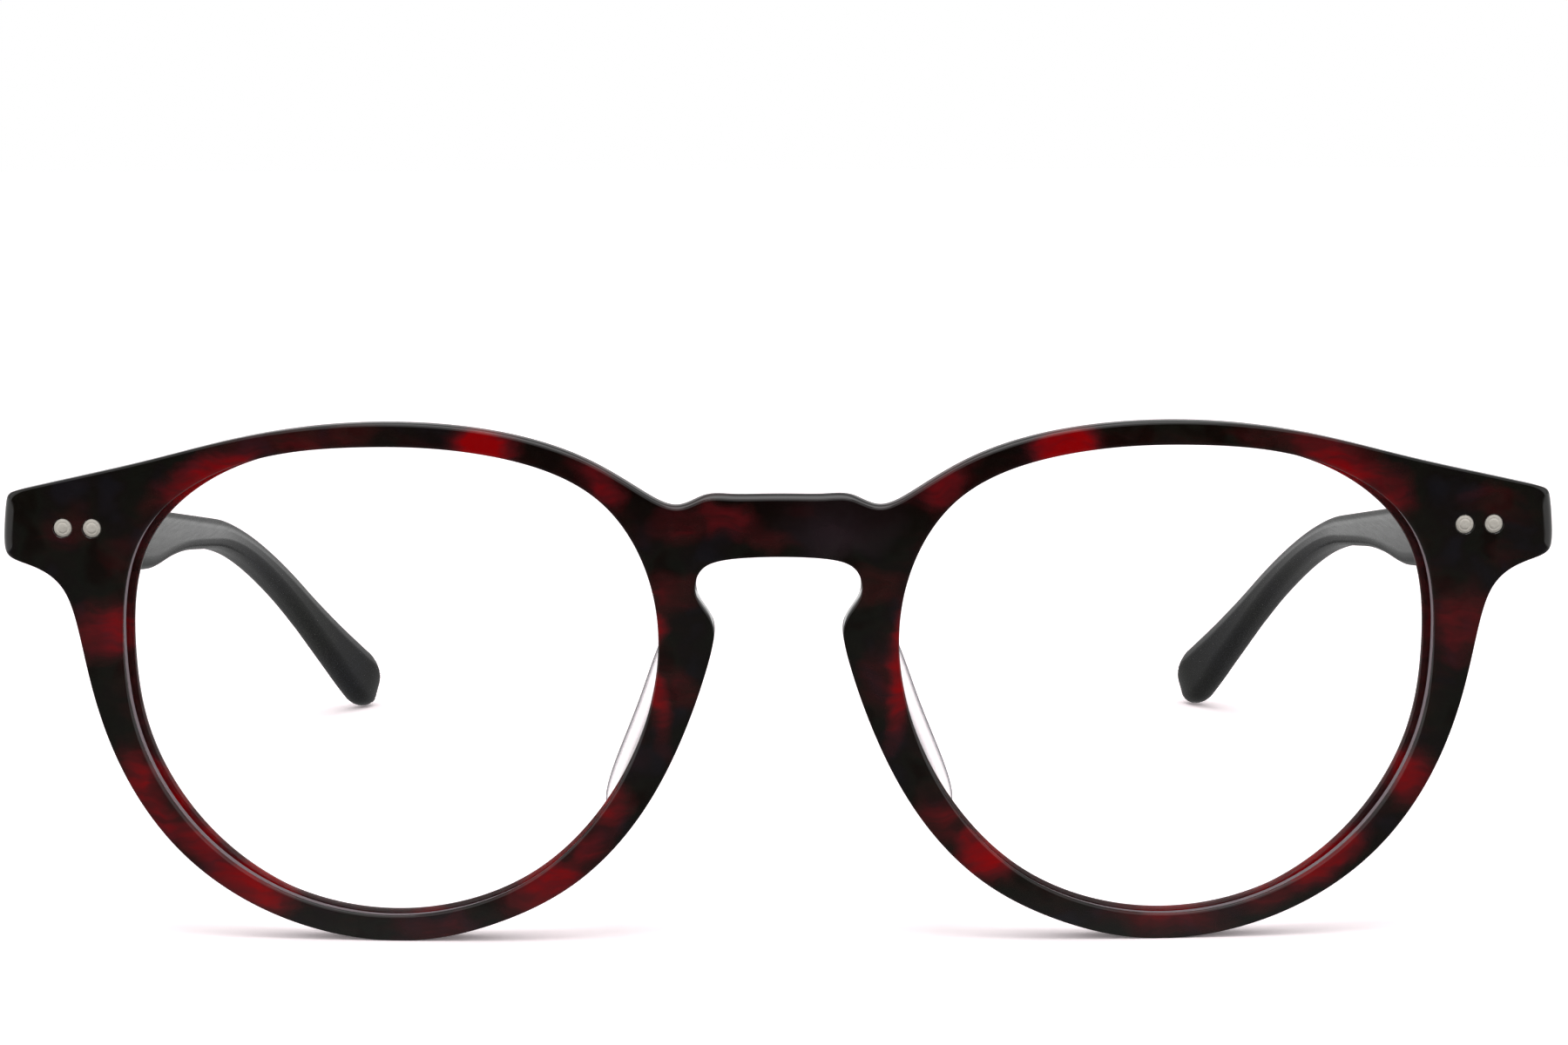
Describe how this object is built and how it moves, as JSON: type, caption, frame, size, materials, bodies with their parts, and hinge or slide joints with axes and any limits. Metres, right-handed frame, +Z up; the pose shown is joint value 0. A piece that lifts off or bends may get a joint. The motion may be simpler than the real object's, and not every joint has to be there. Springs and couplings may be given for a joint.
{
  "type": "eyeglasses",
  "caption": "Oval full-rim acetate eyeglasses with a keyhole bridge, clear lenses, clear nose pads, riveted end pieces and two folding temples with bent tips.",
  "frame": {"origin": "middle of the footprint on the table, under the middle of the bounding box", "axes": "+X to the wearer's left, +Y from the front back along the temples, +Z up"},
  "size_m": [0.138, 0.1372, 0.046],
  "materials": {
    "tortoise_acetate": "polished dark red and black mottled acetate",
    "black_acetate": "polished black acetate",
    "lens": "clear optical plastic",
    "clear_acetate": "clear crystal acetate",
    "steel": "plain steel"
  },
  "bodies": {
    "front": {"front_frame": "tortoise_acetate", "lens_left": "lens", "nose_pad_left": "clear_acetate", "front_hinge_leaf_left": "steel", "hinge_screw_left": "steel", "front_rivet_left_1": "steel", "front_rivet_left_2": "steel", "lens_right": "lens", "nose_pad_right": "clear_acetate", "front_hinge_leaf_right": "steel", "hinge_screw_right": "steel", "front_rivet_right_1": "steel", "front_rivet_right_2": "steel"},
    "temple_left_arm": {"temple_left": "black_acetate", "temple_core_left": "steel", "temple_hinge_leaf_left": "steel", "temple_rivet_left_1": "steel", "temple_rivet_left_2": "steel"},
    "temple_right_arm": {"temple_right": "black_acetate", "temple_core_right": "steel", "temple_hinge_leaf_right": "steel", "temple_rivet_right_1": "steel", "temple_rivet_right_2": "steel"}
  },
  "joints": [
    {"name": "temple_left_fold", "type": "hinge", "parent": "front", "child": "temple_left_arm", "pos_m": [0.06493, -0.05912, 0.03672], "axis": [0, 0, 1], "range_deg": [0, 84]},
    {"name": "temple_right_fold", "type": "hinge", "parent": "front", "child": "temple_right_arm", "pos_m": [-0.06493, -0.05912, 0.03672], "axis": [0, 0, -1], "range_deg": [0, 78]}
  ]
}
